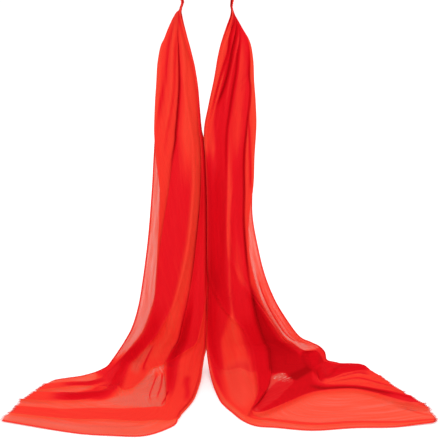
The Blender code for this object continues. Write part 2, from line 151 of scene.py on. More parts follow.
leftFall = {
    "side": -1,  # which turns the show side outwards
    "ways": ((0, 0, -1), None),  # the way that the strip runs at its first and last section, where set
    "rows": 345,  # of points down the strip
    "runPoints": (44, 34, 30, 26, 56, 26, 44),  # points across each layer
    "sections": (
        (0, -32, -78, 546, -32, -118, 556, 0.3, 0),  # tip, edge on
        (0.5, -35.5, -80, 537.5, -32.8, -120, 549, 0.4, 0.4),
        (1, -44, -84, 529, -33, -121, 539, 0.6, 1),
        (1.5, -53, -94, 512, -27.7, -122, 519, 0.95, 2),
        (1.85, -59.8, -100.5, 497, -23, -122.8, 502, 1.2, 3.4),
        (2, -63.6, -104, 491.3, -20.9, -123, 494, 1.3, 3),
        (2.15, -66, -106, 484, -19, -123, 486, 1.35, 3.2),
        (2.5, -69.2, -110.6, 464.5, -14.8, -123, 467, 1.5, 3.8),
        (3, -71.5, -115, 434, -10.6, -123, 437, 1.7, 4.5),  # upper
        (3.5, -74.8, -117, 404, -9, -122.6, 407, 1.9, 5),
        (4, -78.4, -117, 371, -6.6, -122, 373, 2, 5.5),
        (4.1, -78.9, -117, 362, -4.7, -121.8, 364.5, 2, 5.6),
        (4.5, -80.5, -117, 327, -1.3, -121, 329, 2, 6),
        (5, -82.1, -117, 281, 0.6, -120, 282, 2, 6.5),  # middle
        (6, -87.9, -116, 202, 1, -118, 195, 2, 8),
        (7, -98.1, -116, 122, 0.7, -118, 107, 2, 9),  # low
        (7.5, -104.8, -117, 88.3, 0, -119, 69, 1.95, 10.7),
        (8, -113.6, -118, 60.5, -1.2, -122, 34, 1.9, 9),
        (8.5, -123.6, -119, 40.8, -5.6, -135, 17, 1.8, 7),
        (9, -133, -120, 25.2, -7.8, -152.3, 8, 1.7, 5),  # foot
        (9.5, -142.4, -122.3, 11.4, -9.2, -169.3, 3, 1.6, 3.4),
        (10, -150.5, -128.5, 2.5, -12.3, -192.7, 1, 1.5, 2),
        (10.5, -159.6, -136.2, 0, -19.7, -232.4, 0, 1.45, 0.8),
        (11, -168.2, -144.6, 0, -33.9, -268.7, 0, 1.4, 0),
        (11.1, -170, -145.8, 0, -35.9, -272.7, 0, 1.4, 0),
        (11.25, -172.8, -147.6, 0, -39.5, -286, 0, 1.4, 0),
        (11.5, -177.3, -150.6, 0, -48.2, -305.8, 0, 1.35, 0),
        (12, -186.8, -155.8, 0, -85.1, -331.4, 0, 1.3, 0),  # spread
        (12.5, -196.8, -159.4, 0, -131, -331.2, 0, 1.3, 0),
        (13, -206.9, -162.3, 0, -181.7, -324.5, 0, 1.3, 0),
        (14, -225.8, -169.3, 0, -287, -292, 0, 1.3, 0),  # end
    ),
    # Section, then where the outer selvedge, six folds and the inner selvedge lie across it,
    # from 0 at its outer edge to 1 at its inner edge
    "edges": (
        (0, 0.05, 0.95, 0.02, 0.93, 0.06, 0.98, 0.1, 1),
        (1, 0.06, 0.96, 0.02, 0.88, 0.72, 0.98, 0.8, 1),
        (2, 0.08, 0.97, 0.01, 0.8, 0.635, 0.985, 0.92, 1),
        (3, 0.1, 0.98, 0, 0.7, 0.565, 0.985, 0.94, 0.985),  # upper
        (4, 0.07, 0.995, 0.05, 0.8, 0.49, 0.985, 0.94, 0.98),
        (4.5, 0.05, 1, 0.1, 0.775, 0.395, 0.983, 0.91, 0.962),
        (5, 0.03, 1, 0.17, 0.75, 0.32, 0.984, 0.88, 0.96),  # middle
        (6, 0.01, 1, 0.175, 0.67, 0.215, 0.986, 0.8, 0.962),
        (7, 0, 0.95, 0.2, 0.51, 0.21, 1, 0.7, 0.965),  # low
        (7.5, 0, 0.9, 0.17, 0.4, 0.18, 1, 0.65, 0.967),
        (8, 0, 0.84, 0.14, 0.31, 0.15, 1, 0.62, 0.97),
        (8.7, 0, 0.7, 0.105, 0.265, 0.12, 1, 0.59, 0.98),
        (9.2, 0, 0.595, 0.09, 0.245, 0.11, 1, 0.58, 0.98),  # foot
        (9.45, 0, 0.535, 0.085, 0.235, 0.115, 1, 0.583, 0.98),
        (9.75, 0, 0.47, 0.08, 0.23, 0.135, 1, 0.6, 0.98),
        (10.14, 0, 0.457, 0.085, 0.235, 0.165, 1, 0.65, 0.98),
        (10.47, 0, 0.45, 0.09, 0.25, 0.195, 1, 0.705, 0.98),
        (10.77, 0, 0.445, 0.1, 0.27, 0.21, 1, 0.76, 0.98),
        (11.05, 0, 0.44, 0.115, 0.31, 0.23, 1, 0.81, 0.98),
        (11.2, 0, 0.43, 0.125, 0.335, 0.24, 1, 0.8, 0.985),
        (11.34, 0, 0.4, 0.13, 0.35, 0.255, 0.98, 0.74, 1),
        (11.53, 0, 0.33, 0.13, 0.365, 0.28, 0.93, 0.685, 1),
        (11.74, 0, 0.25, 0.13, 0.375, 0.29, 0.86, 0.635, 1),
        (12.05, 0, 0.222, 0.13, 0.385, 0.3, 0.795, 0.59, 1),  # spread
        (12.4, 0, 0.205, 0.12, 0.41, 0.305, 0.77, 0.575, 1),
        (12.82, 0, 0.205, 0.108, 0.455, 0.31, 0.78, 0.595, 1),
        (13.22, 0, 0.225, 0.115, 0.49, 0.315, 0.805, 0.635, 1),
        (14, 0, 0.29, 0.13, 0.56, 0.34, 0.86, 0.68, 1),  # end
    ),
    "blur": (1.2, 1.2, 1.2, 7, 2, 1.2, 5, 1.2),  # how soft the painted shade is along each of those, mm
    # How far the cut end runs on past a straight line: place across, mm
    "endTrim": ((0, 0), (0.06, 2.6), (0.22, 4.1), (0.41, 4.4), (0.49, 5.2), (0.56, 6.9), (0.635, 5.9),
                (0.73, 1.8), (0.8, -0.5), (0.86, -0.7), (0.92, 1.9), (1, 0)),
    # Creases: half width and height in mm, how much painted shade it gets (below 0 a painted
    # highlight), then (section, place across) along it
    "creases": (
        (3.2, -2.8, 0.75, (0.7, 0.74), (1, 0.72), (1.5, 0.66), (2, 0.635), (2.5, 0.6), (3, 0.565),
         (3.5, 0.535), (4.07, 0.485), (4.5, 0.39), (4.93, 0.325)),
        (5, -2, 0.36, (1, 0.28), (1.9, 0.28), (2.72, 0.22), (3.26, 0.155), (4.1, 0.11)),
        (5, 1.5, -0.2, (1.2, 0.45), (2.3, 0.44), (3.4, 0.36), (4.4, 0.26)),
        (4, -1.5, 0.32, (1.4, 0.58), (2.6, 0.46), (3.5, 0.38), (4.6, 0.22)),
        (22, 2, -0.62, (0.9, 0.75), (1.6, 0.82), (2.5, 0.79), (3.3, 0.76), (4, 0.72), (5, 0.64)),
        (9, 5, -0.55, (3.2, 0.9), (3.9, 0.86), (4.95, 0.79), (5.76, 0.72), (6.51, 0.62), (7.07, 0.54),
         (7.48, 0.5), (8.17, 0.46), (9.4, 0.42)),
        (7, -2, 0.15, (4.2, 0.93), (5.24, 0.89), (6, 0.82), (6.6, 0.77), (7.23, 0.72)),
        # painted shade in the valley inside the front layer's fold
        (9, -3, 0.25, (6.6, 0.79), (7.35, 0.725), (7.63, 0.69), (8.01, 0.665), (8.67, 0.65), (9.54, 0.655),
         (10, 0.69), (10.31, 0.715), (10.6, 0.755), (10.85, 0.8)),
        (8, 3, 0.05, (5.2, 0.97), (6.96, 0.92), (8.12, 0.895), (9.06, 0.885), (10.4, 0.88)),
        # painted shade only, with no relief: along the inner edge where the falls meet, and beside it at the
        # foot
        (4, 0, 0.5, (3.9, 0.985), (5, 0.985), (7, 0.985), (8.4, 0.99)),
        (10, 0, 0.3, (9.6, 0.86), (10.04, 0.87), (10.39, 0.92), (10.75, 0.95)),
        (3.5, 2.5, -0.22, (7.9, 0.295), (8.5, 0.3), (9.1, 0.31), (9.75, 0.315), (10.35, 0.335)),
        (2.2, -0.5, 0.6, (8.2, 0.35), (8.9, 0.355), (9.5, 0.37), (10.2, 0.4)),
        # the root of the two bands
        (15, 3.5, 0.1, (7.6, 0.22), (8.6, 0.18), (9.6, 0.15), (10.4, 0.16), (11.2, 0.21), (11.8, 0.27)),
        (9, 4, 0.15, (11, 0.34), (11.6, 0.345), (12.2, 0.345), (12.8, 0.37), (13.5, 0.4)),
        (8, 2, 0.3, (11.2, 0.17), (12.2, 0.165), (13.2, 0.165)),
        # painted shade along streaks that fan down through the single layer
        (2.3, -0.5, 0.9, (9.7, 0.52), (9.94, 0.535), (10.44, 0.56), (10.89, 0.61), (11.31, 0.71)),
        (2.3, -0.5, 0.9, (9.62, 0.57), (10.33, 0.63), (10.76, 0.67), (11.04, 0.715)),
        (2.3, -0.5, 0.9, (10.5, 0.735), (10.75, 0.755), (11, 0.77), (11.17, 0.785)),
        (2.2, 1, -0.2, (9.7, 0.49), (10.2, 0.52), (10.7, 0.54), (11.1, 0.58)),
        (2.5, 1, -0.15, (9.9, 0.59), (10.3, 0.61), (10.7, 0.64), (11.1, 0.69)),
        (4, 2, -0.15, (11.2, 0.6), (11.91, 0.5), (12.56, 0.495), (13.22, 0.525), (14, 0.56)),
        (14, 3, -0.1, (11.3, 0.9), (12.2, 0.9), (13.2, 0.92), (14, 0.93)),
    ),
    # Areas: softness of their edges in mm, fade at their ends in sections, painted shade (below 0 a
    # painted highlight) and painted light through the weave, then (section, from, to across)
    "areas": (
        # painted light through the loose outer layer
        (3, 0.8, 0, 0.36, (4.3, 0.03, 0.09), (5, 0.06, 0.16), (6, 0.07, 0.172), (7, 0.085, 0.195),
         (7.5, 0.065, 0.165), (8, 0.045, 0.135), (8.7, 0.03, 0.1), (9.5, 0.02, 0.08)),
        (4, 0.8, 0, 0.2, (4.3, 0, 0.09), (5, 0, 0.16), (6, 0, 0.172), (7, 0, 0.195), (7.5, 0, 0.165),
         (8, 0, 0.135), (8.7, 0, 0.1), (9.5, 0, 0.08)),
        # painted shade on the crimson root of the two bands
        (8, 0.7, 0.3, 0, (7, 0.24, 0.42), (7.56, 0.21, 0.34), (8.24, 0.16, 0.31), (8.82, 0.11, 0.265),
         (9.38, 0.03, 0.245), (9.97, -0.05, 0.24), (10.6, -0.05, 0.29), (11.25, 0.06, 0.36),
         (11.9, 0.14, 0.38)),
        (8, 0.6, 0.34, 0, (9.3, -0.04, 0.11), (10, -0.05, 0.1), (10.8, -0.05, 0.11), (11.4, 0.02, 0.13)),
        (6, 0.7, 0.6, 0, (11.35, 0.23, 0.38), (11.8, 0.23, 0.4), (12.05, 0.23, 0.41), (12.44, 0.25, 0.43),
         (13, 0.3, 0.45), (13.7, 0.36, 0.47)),
        (4, 0.7, 0.35, 0, (11.3, 0.1, 0.19), (12.2, 0.12, 0.2), (13, 0.12, 0.19), (13.6, 0.13, 0.18)),
        # painted shade in the dark valley
        (5, 0.7, 0.33, 0, (6.7, 0.67, 0.8), (7.65, 0.615, 0.76), (8.29, 0.595, 0.735), (9.09, 0.6, 0.73),
         (10.03, 0.655, 0.762), (10.68, 0.72, 0.8), (10.95, 0.76, 0.82)),
        # painted light through single cloth, and a faint painted highlight, where the streaks fan down
        (7, 0.4, -0.06, 0.34, (9.8, 0.47, 0.62), (10.4, 0.455, 0.69), (10.9, 0.455, 0.76),
         (11.2, 0.47, 0.78), (11.6, 0.42, 0.6), (12.2, 0.41, 0.46)),
        (6, 0.5, -0.12, 0.3, (8.2, 0.315, 0.37), (9, 0.27, 0.35), (9.7, 0.25, 0.34), (10.4, 0.31, 0.38)),
        (6, 0.4, -0.04, 0.2, (11.7, 0.86, 0.99), (12.4, 0.83, 0.99), (13.2, 0.86, 0.99), (14, 0.9, 0.99)),
    ),
}

rightFall = {
    "side": 1,
    "ways": ((0, 0, -1), None),
    "rows": 345,
    "runPoints": (44, 34, 34, 26, 56, 30, 36),
    "sections": (
        (0, 32, -78, 541, 32, -118, 551, 0.3, 0),  # tip, edge on
        (0.5, 33.3, -80, 536, 31.6, -120, 545.5, 0.4, 0.4),
        (1, 36.6, -84, 527.5, 30.1, -121, 537.3, 0.6, 1),
        (1.5, 46.5, -94, 512.5, 23.7, -122, 521, 0.95, 2),
        (2, 58.9, -104, 495.3, 16.8, -123, 499.3, 1.3, 4),
        (2.5, 63.9, -110.6, 472, 11.9, -123, 475.3, 1.5, 6),
        (3, 65.6, -115, 444, 7.6, -123, 447, 1.7, 8),  # upper
        (3.5, 68.4, -117, 414, 1.1, -123, 414.2, 1.9, 9.6),
        (4, 70.7, -117, 379, -5.2, -122, 376.2, 2, 11),
        (4.5, 69.3, -117, 335, -3, -121, 329, 2, 12),
        (5, 68.4, -117, 288, -1.2, -120, 282, 2, 13),  # middle
        (5.5, 67.1, -116.5, 242, -0.8, -119, 239, 2, 13),
        (6, 72.8, -116, 197, -0.8, -118, 195, 2, 13),
        (6.5, 82.6, -116, 151, -0.9, -118, 151, 2, 12.7),
        (7, 98.5, -116, 108.2, -1.1, -118, 107, 2, 12),  # low
        (7.5, 118.1, -114, 72.3, -1.8, -116.5, 66, 1.95, 10.7),
        (8, 136.7, -112, 45, -2.8, -123, 38, 1.9, 9),
        (8.5, 153.4, -110, 34.4, -0.4, -138.5, 18.1, 1.8, 7),
        (9, 165, -108, 27, 3.3, -162, 6.2, 1.7, 5),  # foot
        (9.5, 171.9, -106.5, 20.3, 9.2, -194.5, 1.6, 1.6, 3.4),
        (10, 176.2, -107.5, 14.2, 18.6, -234, 0, 1.5, 2),
        (10.3, 177.4, -109.5, 9.5, 26.7, -252, 0, 1.45, 1.2),
        (10.5, 178.2, -111.2, 5.5, 33.3, -263.5, 0, 1.45, 0.8),
        (10.7, 181.5, -111.2, 2.2, 40, -275, 0, 1.4, 0.4),
        (11, 190.1, -111.2, 0, 49.9, -290, 0, 1.4, 0),
        (11.5, 200.4, -116, 0, 68.3, -304.7, 0, 1.35, 0),
        (12, 212.4, -116.2, 0, 97, -309.4, 0, 1.3, 0),  # spread
        (12.5, 221.4, -117, 0, 146.7, -317, 0, 1.3, 0),
        (13, 228.8, -118.3, 0, 205, -309.9, 0, 1.3, 0),
        (13.5, 234.2, -124.2, 0, 262.8, -307.5, 0, 1.3, 0),
        (14, 237.2, -134.5, 0, 321.4, -296, 0, 1.3, 0),  # end
    ),
    "edges": (
        (0, 0.05, 0.95, 0.02, 0.93, 0.06, 0.98, 0.1, 1),
        (1, 0.06, 0.96, 0.01, 0.93, 0.3, 0.985, 0.11, 1),
        (2, 0.1, 0.97, 0, 0.94, 0.46, 0.985, 0.1, 1),
        (3, 0.12, 0.975, 0, 0.95, 0.52, 0.99, 0.13, 1),  # upper
        (4, 0.1, 0.968, 0.02, 0.975, 0.585, 0.986, 0.215, 1),
        (4.5, 0.08, 0.963, 0.03, 0.973, 0.595, 0.985, 0.23, 1),
        (5, 0.06, 0.962, 0.04, 0.972, 0.6, 0.985, 0.24, 1),  # middle
        (6, 0.01, 0.964, 0.18, 0.972, 0.58, 0.986, 0.255, 1),
        (6.5, 0, 0.967, 0.19, 0.95, 0.43, 0.987, 0.285, 1),
        (7, 0, 0.972, 0.19, 0.78, 0.24, 0.988, 0.31, 1),  # low
        (7.3, 0, 0.974, 0.188, 0.61, 0.185, 0.988, 0.33, 1),
        (7.6, 0, 0.975, 0.165, 0.535, 0.17, 0.988, 0.35, 1),
        (8.15, 0, 0.975, 0.145, 0.56, 0.17, 0.987, 0.387, 1),
        (8.8, 0, 0.94, 0.16, 0.59, 0.172, 0.98, 0.435, 1),
        (9.15, 0, 0.89, 0.155, 0.605, 0.175, 0.975, 0.462, 1),  # foot
        (9.35, 0, 0.82, 0.14, 0.615, 0.177, 0.975, 0.477, 1),
        (9.55, 0, 0.73, 0.105, 0.63, 0.178, 0.97, 0.49, 1),
        (9.75, 0, 0.65, 0.08, 0.64, 0.18, 0.97, 0.505, 1),
        (10.1, 0, 0.67, 0.06, 0.675, 0.185, 0.97, 0.545, 1),
        (10.45, 0, 0.715, 0.05, 0.725, 0.19, 0.97, 0.615, 1),
        (10.65, 0, 0.765, 0.05, 0.775, 0.193, 0.968, 0.68, 1),
        (10.84, 0, 0.835, 0.05, 0.85, 0.197, 0.968, 0.785, 1),
        (11, 0, 0.905, 0.05, 0.915, 0.21, 0.965, 0.91, 1),
        (11.35, 0, 0.87, 0.05, 0.88, 0.26, 0.955, 0.92, 1),
        (11.6, 0, 0.7, 0.05, 0.72, 0.31, 0.94, 0.905, 1),
        (11.85, 0, 0.57, 0.04, 0.59, 0.355, 0.947, 0.915, 1),
        (12.16, 0, 0.495, 0.035, 0.51, 0.39, 0.955, 0.92, 1),  # spread
        (12.5, 0, 0.46, 0.03, 0.475, 0.385, 0.955, 0.925, 1),
        (12.85, 0, 0.465, 0.03, 0.48, 0.395, 0.957, 0.925, 1),
        (13.35, 0, 0.525, 0.03, 0.54, 0.435, 0.965, 0.935, 1),
        (13.7, 0, 0.64, 0.03, 0.66, 0.475, 0.98, 0.95, 1),
        (14, 0, 0.76, 0.03, 0.78, 0.55, 0.985, 0.958, 1),  # end
    ),
    "blur": (1.2, 6, 1.2, 9, 12, 1.2, 1.2, 1.2),
    "fadeRows": 14,  # rounds of softening down the strip
    "endTrim": ((0, 0), (0.06, 2), (0.09, 9), (0.13, 10), (0.185, 6.4), (0.296, 3.9), (0.383, 7.5),
                (0.493, 8.8), (0.633, 7.5), (0.746, 11.5), (0.856, 9.3), (0.935, 5), (1, -5)),
    "creases": (
        (3, -2.5, 0.62, (0.9, 0.455), (1.52, 0.785), (2.18, 0.77), (2.65, 0.83), (3, 0.875), (3.9, 0.93)),
        (3.2, -3, 0.6, (0.9, 0.33), (1.97, 0.625), (2.72, 0.69), (3.2, 0.765), (3.5, 0.835), (4.1, 0.86)),
        (2.5, 1.5, -0.3, (1.2, 0.5), (1.59, 0.675), (2.78, 0.81), (3.5, 0.9)),
        (3, 2, -0.3, (1.4, 0.47), (2.4, 0.59), (2.98, 0.645), (3.9, 0.67)),
        (3.8, -3.5, 0.66, (0.9, 0.24), (1.54, 0.32), (2.18, 0.475), (2.76, 0.5), (3.19, 0.54), (3.88, 0.58),
         (4.56, 0.61), (5.1, 0.6)),
        (3.2, -3, 0.7, (1.5, 0.09), (2.78, 0.15), (3.2, 0.12), (3.84, 0.2), (4.45, 0.255), (5.4, 0.235),
         (6.2, 0.265), (6.93, 0.305), (7.4, 0.335)),
        (2.6, -2, 0.4, (3.7, 0.19), (4.48, 0.13), (5.2, 0.09)),
        (11, -5, 0, (4.3, 0.74), (4.9, 0.74), (5.4, 0.76), (6, 0.79), (7.3, 0.82)),
        (5.5, 4, -0.5, (4, 0.53), (4.6, 0.55), (5.48, 0.56), (6.12, 0.6), (6.72, 0.64), (7.3, 0.66),
         (8.2, 0.7)),
        (8, 4, -0.22, (3.2, 0.82), (4, 0.8), (4.5, 0.84), (5, 0.92)),
        (9, 3.5, -0.25, (1.6, 0.4), (3.5, 0.38), (4.9, 0.42)),
        (9, 3, -0.12, (4.4, 0.42), (5.6, 0.42), (7, 0.44)),
        (12, 5, 0, (4.2, 0.9), (5.4, 0.9), (6.6, 0.92)),
        # painted shade only, with no relief, along the inner edge; then a broad painted highlight down the
        # upper fall
        (8, 0, 0.35, (3.6, 0.985), (5, 0.985), (7, 0.985), (8.6, 0.99)),
        (42, 0, -0.45, (0.3, 0.5), (1.5, 0.55), (2.5, 0.6), (3.5, 0.62), (4.6, 0.62), (5.6, 0.64)),
        # the pouch in the front layer, and painted shade on the strip beside the inner edge
        (20, 7, 0, (7, 0.7), (7.6, 0.66), (8.3, 0.7), (9.3, 0.76), (10.2, 0.8), (10.9, 0.88)),
        (15, -2, 0.35, (5.8, 0.9), (6.6, 0.9), (7.5, 0.92), (8.6, 0.94), (9.7, 0.955), (10.5, 0.97)),
        # the hollow beside the pouch, and the arm along its far side
        (24, -3, 0, (6.3, 0.27), (7.4, 0.28), (8.15, 0.3), (9.35, 0.34), (10.1, 0.34), (10.8, 0.36)),
        (14, 6, 0.1, (8.8, 0.13), (9.6, 0.11), (10.4, 0.12), (11, 0.16), (11.6, 0.25), (12.2, 0.36)),
        # the selvedge rolls back along the outer edge, with painted shade in its roll
        (12, 2, 0.17, (5.9, 0.05), (6.6, 0.05), (7.4, 0.05), (8, 0.04), (8.6, 0.03), (9.4, 0.03)),
        (1.6, -1, 0.6, (6.3, 0.13), (6.9, 0.135), (7.42, 0.13), (7.72, 0.125), (8.02, 0.105), (8.6, 0.07)),
        # the end's gathered folds
        (9, 4, 0, (11.2, 0.1), (12, 0.14), (12.5, 0.1), (13.1, 0.08), (13.9, 0.06)),
        (3, -2, 0.3, (11.9, 0.26), (12.5, 0.16), (13, 0.13), (13.8, 0.11)),
        (3.4, 3, -0.85, (11.9, 0.4), (12.14, 0.315), (12.45, 0.26), (12.91, 0.22), (13.59, 0.24),
         (14, 0.275)),
        (3, 2.5, -0.7, (12, 0.42), (12.19, 0.345), (12.67, 0.31), (13.16, 0.32), (13.68, 0.37), (14, 0.45)),
        (2.2, -1.5, 0.5, (12, 0.36), (12.45, 0.29), (13, 0.26), (13.6, 0.3), (14, 0.35)),
        (8, -3, 0.45, (11.4, 0.4), (12.11, 0.45), (12.56, 0.425), (13.23, 0.46), (13.68, 0.51), (14, 0.6)),
        (2.2, 2, -0.3, (13.2, 0.6), (13.5, 0.66), (13.75, 0.74), (14, 0.8)),
        (2, -1.5, 0.3, (13.3, 0.62), (13.6, 0.69), (13.8, 0.78), (14, 0.86)),
        (2.2, 2, -0.25, (13.5, 0.6), (13.75, 0.68), (14, 0.72)),
    ),
    "areas": (
        # a painted highlight on the lens in the front layer, and lower down painted light through it
        (9, 0.5, -0.36, 0, (6.9, 0.57, 0.66), (7.34, 0.585, 0.73), (7.7, 0.595, 0.8), (8, 0.61, 0.845),
         (8.79, 0.645, 0.87), (9.4, 0.65, 0.885)),
        (9, 0.5, -0.14, 0.12, (8.8, 0.645, 0.87), (9.4, 0.65, 0.885), (9.96, 0.675, 0.91),
         (10.33, 0.71, 0.925), (10.9, 0.82, 0.93)),
        # painted shade between the ridge and the outer edge's line, and a painted highlight below
        (9, 0.8, 0.2, 0, (4, 0.26, 0.5), (5, 0.27, 0.51), (5.6, 0.28, 0.53), (6.2, 0.29, 0.54)),
        (9, 0.4, -0.24, 0, (6.1, 0.5, 0.6), (6.5, 0.38, 0.62), (7, 0.36, 0.6), (7.5, 0.42, 0.6)),
        # a painted highlight on a strip along the inner edge, up to the first dark line
        (4, 0.6, -0.68, 0, (1.2, 0.76, 1.05), (2.5, 0.8, 1.05), (3.5, 0.83, 1.05), (4, 0.84, 1.03),
         (4.7, 0.8, 0.93)),
        # painted shade in the hollow beside the pouch, and on the crimson arm along its far side
        (7, 0.3, 0.6, 0, (6.6, 0.24, 0.29), (6.93, 0.25, 0.33), (7.36, 0.23, 0.365), (7.9, 0.225, 0.395),
         (8.72, 0.232, 0.46), (9.57, 0.225, 0.51), (10, 0.225, 0.53), (10.2, 0.225, 0.45),
         (10.7, 0.225, 0.41), (11, 0.235, 0.41)),
        (6, 0.4, 0.62, 0, (9.1, 0, 0.17), (9.6, -0.03, 0.22), (10.3, -0.04, 0.23), (10.8, -0.04, 0.24),
         (11.4, -0.04, 0.28), (12, 0, 0.36)),
        (6, 0.3, 0.42, 0, (10.3, 0.24, 0.42), (10.7, 0.24, 0.72), (11, 0.26, 0.86), (11.35, 0.32, 0.84),
         (11.6, 0.36, 0.7), (11.85, 0.39, 0.57), (12.16, 0.41, 0.495), (12.5, 0.4, 0.46),
         (12.85, 0.415, 0.465), (13.35, 0.45, 0.525), (13.8, 0.52, 0.6)),
        # single cloth in the hollow's shade: a faint painted highlight, and painted light through its open
        # weave, in specks
        (3.5, 0.12, -0.2, 0.38, (10.08, 0.49, 0.545), (10.2, 0.44, 0.56), (10.35, 0.415, 0.58),
         (10.6, 0.41, 0.66), (10.8, 0.42, 0.755), (10.92, 0.45, 0.83), (11.02, 0.53, 0.88),
         (11.12, 0.62, 0.88), (11.24, 0.7, 0.84)),
        (3, 0.1, 0, 0.9, (10.1, 0.47, 0.535), (10.24, 0.43, 0.54), (10.45, 0.41, 0.51), (10.7, 0.41, 0.46),
         (10.85, 0.42, 0.44)),
        # painted light through the single cloth inside the rolled outer edge
        (2.5, 0.5, 0, 0.34, (6, 0.11, 0.175), (6.9, 0.14, 0.187), (7.4, 0.135, 0.182), (7.8, 0.12, 0.158),
         (8.15, 0.1, 0.143), (8.8, 0.08, 0.155), (9.2, 0.06, 0.15), (9.6, 0.03, 0.09)),
        # painted shade in the end's gathered folds, and a painted highlight near the tip
        (5, 0.3, 0.65, 0, (11.6, 0, 0.33), (12, 0, 0.27), (12.3, 0, 0.18), (12.8, 0, 0.14),
         (13.4, 0.02, 0.1), (13.8, 0.03, 0.07)),
        (3, 0.3, 0.3, 0, (12.1, 0.25, 0.32), (12.5, 0.19, 0.26), (12.9, 0.15, 0.21), (13.5, 0.14, 0.21)),
        (3, 0.3, -0.15, 0.1, (13.2, 0.56, 0.64), (13.5, 0.58, 0.72), (13.8, 0.66, 0.78), (14, 0.7, 0.8)),
    ),
}

napeBand = {
    "side": 1,
    "ways": ((0, 0, 1), (0, 0, -1)),
    "rows": 220,
    "runPoints": (26, 26, 26, 26, 26, 26, 26),
    "sections": (
        (0, -32, -78, 546, -32, -118, 556, 0.3, 0),  # left tip
        (1, -34, -77, 557, -34, -110, 579, 0.6, 0),
        (2, -37, -74, 561, -37, -93, 595, 1.1, 0),
        (3, -43, -68, 561, -43, -68, 605, 1.3, 0),
        (4, -54, -46, 566, -55, -48, 612, 1.4, 0),  # side of the neck
        (5, -46, -18, 572, -46, -20, 618, 1.4, 0),
        (6, -24, -3, 576, -24, -4, 622, 1.4, 0),
        (7, 0, 0, 577, 0, 0, 623, 1.4, 0),  # nape
        (8, 24, -3, 576, 24, -4, 622, 1.4, 0),
        (9, 46, -18, 572, 46, -20, 618, 1.4, 0),
        (10, 54, -46, 565, 55, -48, 611, 1.4, 0),  # side of the neck
        (11, 43, -68, 558, 43, -68, 602, 1.3, 0),
        (12, 37, -74, 557, 37, -93, 591, 1.1, 0),
        (13, 34, -77, 552, 34, -110, 574, 0.6, 0),
        (14, 32, -78, 541, 32, -118, 551, 0.3, 0),  # right tip
    ),
    "edges": tuple((at, 0.05, 0.95, 0.02, 0.93, 0.06, 0.98, 0.1, 1) for at in (0, 7, 14)),
    "blur": (1.2,) * 8,
    "creases": (
        (6, 3.8, -0.1, (1, 0.16), (5, 0.18), (9, 0.14), (13, 0.18)),
        (5, -3.2, 0.3, (1.4, 0.32), (6, 0.3), (10, 0.34), (12.8, 0.32)),
        (6, 3.8, -0.1, (1, 0.48), (4, 0.46), (8, 0.5), (13, 0.48)),
        (5, -3.2, 0.3, (1.2, 0.64), (6, 0.62), (10, 0.66), (13, 0.64)),
        (6, 3.8, -0.1, (1.1, 0.8), (5.5, 0.8), (9, 0.84), (12.9, 0.8)),
    ),
}


def readSections(part, places):
    table = np.asarray(part["sections"], float)
    return readCurve(table[:, 0], table[:, 1:], places)


def rowPlaces(part):
    # places down the strip, evenly spaced in mm
    table = np.asarray(part["sections"], float)
    steps = np.linalg.norm(np.diff(0.5 * (table[:, 1:4] + table[:, 4:7]), axis=0), axis=1)
    travel = runningSum(steps)
    return np.interp(np.linspace(0.0, travel[-1], part["rows"]), travel, table[:, 0])


def showSide(part, places, across, u):
    # the way that the bundle's show side faces, at every point
    near = 0.05  # sections to either side, for the slope
    before = readSections(part, np.maximum(places - near, 0.0))
    after = readSections(part, np.minimum(places + near, lastSection))
    change = after - before
    along = unit(change[:, None, 0:3] * (1.0 - u[:, :, None]) + change[:, None, 3:6] * u[:, :, None])
    for run, way in ((places, part["ways"][0]), (lastSection - places, part["ways"][1])):
        if way is not None:
            along = way + (along - way) * smoothStep(run)[:, None, None]
    return unit(np.cross(np.broadcast_to(across[:, None, :], along.shape), along) * part["side"])


def fadeEnd(track, gone):
    # what is left towards a track's end: all of it where the track runs on to the last section
    return 1.0 if track[-1, 0] >= lastSection else smoothStep(gone)


def creaseTrack(track, places):
    # place across at every row, and how strongly the crease shows there. It comes in and goes
    # over a quarter of its length.
    track = np.array(track)
    first, last = track[0, 0], track[-1, 0]
    centre = readCurve(track[:, 0], track[:, 1], np.clip(places, first, last))
    run = (places - first) / (last - first)
    return centre, smoothStep(run * 4.0) * fadeEnd(track, (1.0 - run) * 4.0) * (run <= 1.0)


def creaseShape(half, track, places, u, width):
    # from 0 beside the crease to 1 along its middle
    centre, fade = creaseTrack(track, places)
    reach = np.minimum(half, cut["creaseMost"] * width)
    off = np.minimum(np.abs(u - centre) * width[:, None] / reach[:, None], 1.0)
    return (fade * reach / half)[:, None] * 0.5 * (1.0 + np.cos(np.pi * off))


def areaShape(soft, fade, track, places, u, width):
    # 1 between the area's two lines, 0 outside them
    track = np.array(track)
    first, last = track[0, 0], track[-1, 0]
    lines = readCurve(track[:, 0], track[:, 1:], np.clip(places, first, last)) * width[:, None]
    x = u * width[:, None]
    shape = smoothStep((x - lines[:, :1]) / soft + 0.5) * smoothStep((lines[:, 1:] - x) / soft + 0.5)
    shown = smoothStep((places - first) / fade) * fadeEnd(track, (last - places) / fade)
    return shape * shown[:, None]


def foldEdges(part, places, width, seed):
    # where every fold edge runs, in mm from the bundle's outer edge
    table = np.array(part["edges"])
    edges = readCurve(table[:, 0], table[:, 1:], places)
    for number in range(1, edges.shape[1] - 1):
        lane = np.full_like(places, number * 3.3)  # far enough apart that no two edges stray alike
        stray = softNoise(places * cut["wanderTurns"], lane, seed)
        edges[:, number] += cut["wander"] * stray * smoothStep(places - 0.5)
    return np.clip(edges, 0.0, 1.0) * width[:, None]


def liftOver(x, layer, edges, spacing):
    # how far the layers below lift this one, each with a soft roll along its fold edge
    lift = np.zeros_like(x)
    for below in range(layer):
        first, last = edges[:, below, None], edges[:, below + 1, None]
        low, high = np.minimum(first, last), np.maximum(first, last)
        cover = smoothStep((x - low) / cut["drape"] + 1.0) * smoothStep((high - x) / cut["drape"] + 1.0)
        roll = np.clip(1.0 - ((x - last) / cut["loftHalf"]) ** 2, 0.0, 1.0) ** 2
        lift += (cover + cut["loft"] * roll) * spacing[:, None]
    return lift


